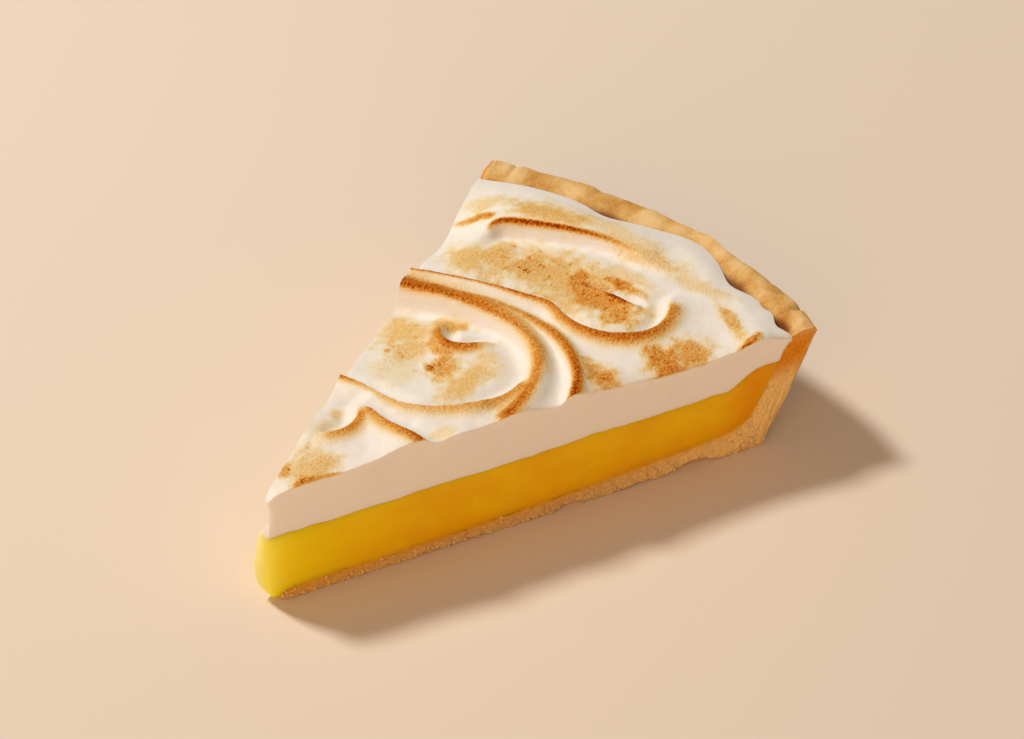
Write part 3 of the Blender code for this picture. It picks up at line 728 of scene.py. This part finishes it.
def meringue_shape(row, side, level):
    angle = side * HALF_ANGLE
    r_top = row * meringue_radius(angle)
    r_floor = row * wall_radius(CURD_AT_WALL + 0.2 * MM)
    z_floor = curd_top(r_floor, angle) - 0.05 * MM
    x, y = r_top * np.cos(angle), r_top * np.sin(angle)
    top, browned = meringue_top(x, y)
    tan, freckled = tan_patches(x, y)
    from_near_cut = r_top * np.sin((1 + side) * HALF_ANGLE)
    sagging = 0.95 + rough(np.stack([x, y, np.zeros_like(x)], axis=1), 7 * MM, 43) * 0.5
    slump = sagging * np.exp(-from_near_cut / (1.5 * MM))
    top = top - slump * smooth_step(r_top, 42 * MM, 54 * MM) * MM
    r = r_floor + (r_top - r_floor) * level
    points = polar(r, angle, z_floor + (top - z_floor) * level)
    on_cut = np.abs(side) > 1 - 1e-4
    edge = np.exp(-(1 - level) / 0.05)
    waist = np.sin(np.pi * level)
    drawn_in = -waist * 0.25 * MM - 0.22 * MM * edge
    ripple = rough(points, 11 * MM, 21) * 0.3 * MM + rough(points, 3 * MM, 22) * 0.06 * MM
    points = cut_outward(points, side, drawn_in + np.where(on_cut, ripple * level, 0))
    cut_back = 1.3 + 0.3 * level + 0.7 * waist
    to_far = 1.5 - 0.9 * level - 1.05 * waist
    points = blunted(points, r, side, cut_back * MM, 0.3 * MM, 0, to_far * MM, 0.3 * MM)
    on_top = level > 0.999
    return points, {"brown": browned * on_top, "tan": tan * on_top, "freckled": freckled * on_top}


def meringue():
    material, tree, shader, where = new_material("toasted meringue")
    grains = speckle(tree, where, 0.55 * MM, 3, 0.65)
    blotches = speckle(tree, where, 1.7 * MM, 3, 0.6)
    brown, tan, freckled = mask(tree, "brown"), mask(tree, "tan"), mask(tree, "freckled")
    freckle = shades(tree, blotches, (0.58, (0, 0, 0)), (0.66, (0.34, 0.34, 0.34)))
    toast = sums(tree, "ADD", sums(tree, "MAXIMUM", brown, tan), sums(tree, "MULTIPLY", freckled, freckle))
    coarse = sums(tree, "ADD", 1.0, sums(tree, "MULTIPLY", sums(tree, "MAXIMUM", brown, freckled), 0.8))
    uneven = sums(tree, "MULTIPLY", sums(tree, "SUBTRACT", grains, 0.5), coarse)
    toast = sums(tree, "ADD", toast, sums(tree, "MULTIPLY", toast, uneven), True)
    colour = shades(tree, toast, (0.0, (0.90, 0.875, 0.83)), (0.17, (0.90, 0.79, 0.56)),
                    (0.38, (0.89, 0.60, 0.22)), (0.58, (0.83, 0.35, 0.040)),
                    (0.78, (0.66, 0.18, 0.003)), (1.0, (0.32, 0.045, 0.001)))
    linked(tree, shader.inputs["Base Color"], colour)
    shader.inputs["Roughness"].default_value = 0.55
    shine = sums(tree, "SUBTRACT", 0.4, sums(tree, "MULTIPLY", toast, 0.38), True)
    linked(tree, shader.inputs["Specular IOR Level"], shine)
    shader.inputs["Subsurface Weight"].default_value = 0.25
    shader.inputs["Subsurface Radius"].default_value = (1.0, 0.9, 0.75)
    shader.inputs["Subsurface Scale"].default_value = 1.5 * MM
    height = sums(tree, "ADD", sums(tree, "MULTIPLY", grains, sums(tree, "ADD", toast, 0.08)),
                  sums(tree, "MULTIPLY", speckle(tree, where, 4 * MM, 2, 0.5, (1, 1, 2.5)), 0.3))
    raised(tree, shader, height, 0.6 * MM)
    return material


meringue_mesh = wedge(MERINGUE_ROWS, MERINGUE_RISE, 0.8)
meringue_masks = place(meringue_mesh, meringue_shape)
topping = make_piece("swirled_meringue", meringue_mesh, meringue(), "meringue", meringue_masks)

# The studio
#
# A pale table, a soft lamp behind the slice on its far side, and a large warm one in front,
# with the camera looking down at the near cut.

TURN_OF_CUT = math.radians(48.48)
CAMERA_TILT = math.radians(36.936)
CAMERA_DISTANCE = 1.2
CAMERA_TARGET = Vector((0.02724, 0.01523, 0))
FOCAL_PIXELS = 5783
PICTURE_WIDTH = 1024
SENSOR_WIDTH = 36
LENS = FOCAL_PIXELS / PICTURE_WIDTH * SENSOR_WIDTH


def from_camera(across, away, up):
    """A direction given from the camera's side, in the slice's own axes."""
    c, s = math.cos(TURN_OF_CUT), math.sin(TURN_OF_CUT)
    return Vector((across * c + away * s, -across * s + away * c, up))


look = from_camera(0, math.cos(CAMERA_TILT), -math.sin(CAMERA_TILT))
camera_data = bpy.data.cameras.new("camera")
camera_data.lens = LENS
camera_data.sensor_width = SENSOR_WIDTH
camera_data.clip_start = 0.05
camera_data.clip_end = 20
camera = bpy.data.objects.new("camera", camera_data)
camera.location = CAMERA_TARGET - look * CAMERA_DISTANCE
camera.rotation_mode = "QUATERNION"
camera.rotation_quaternion = look.to_track_quat("-Z", "Y")
bpy.context.scene.collection.objects.link(camera)
bpy.context.scene.camera = camera


def add_lamp(name, towards, distance, size, power, colour):
    data = bpy.data.lights.new(name, "AREA")
    data.size = size
    data.energy = power
    data.color = colour
    lamp = bpy.data.objects.new(name, data)
    lamp.location = Vector(towards).normalized() * distance
    lamp.rotation_mode = "QUATERNION"
    lamp.rotation_quaternion = (-lamp.location).to_track_quat("-Z", "Y")
    bpy.context.scene.collection.objects.link(lamp)


add_lamp("window", (-2.7, 20.4, 26), 1.6, 0.25, 18.4, (1.0, 0.945, 0.87))
add_lamp("fill", from_camera(-0.2, -1, 0.35), 1.8, 1.6, 17, (1.0, 0.565, 0.27))

world = bpy.data.worlds.new("studio")
world.use_nodes = True
world.node_tree.nodes["Background"].inputs["Color"].default_value = (1.0, 0.86, 0.70, 1)
world.node_tree.nodes["Background"].inputs["Strength"].default_value = 0.25
bpy.context.scene.world = world
bpy.context.scene.view_settings.view_transform = "Standard"

table_mesh = bmesh.new()
bmesh.ops.create_grid(table_mesh, x_segments=1, y_segments=1, size=3)
table_data = bpy.data.meshes.new("table")
table_mesh.to_mesh(table_data)
table_mesh.free()
table_finish, _, table_shader, _ = new_material("pale table")
table_shader.inputs["Base Color"].default_value = (0.82, 0.72, 0.62, 1)
table_shader.inputs["Roughness"].default_value = 0.8
table_data.materials.append(table_finish)
table = bpy.data.objects.new("table", table_data)
bpy.context.scene.collection.objects.link(table)
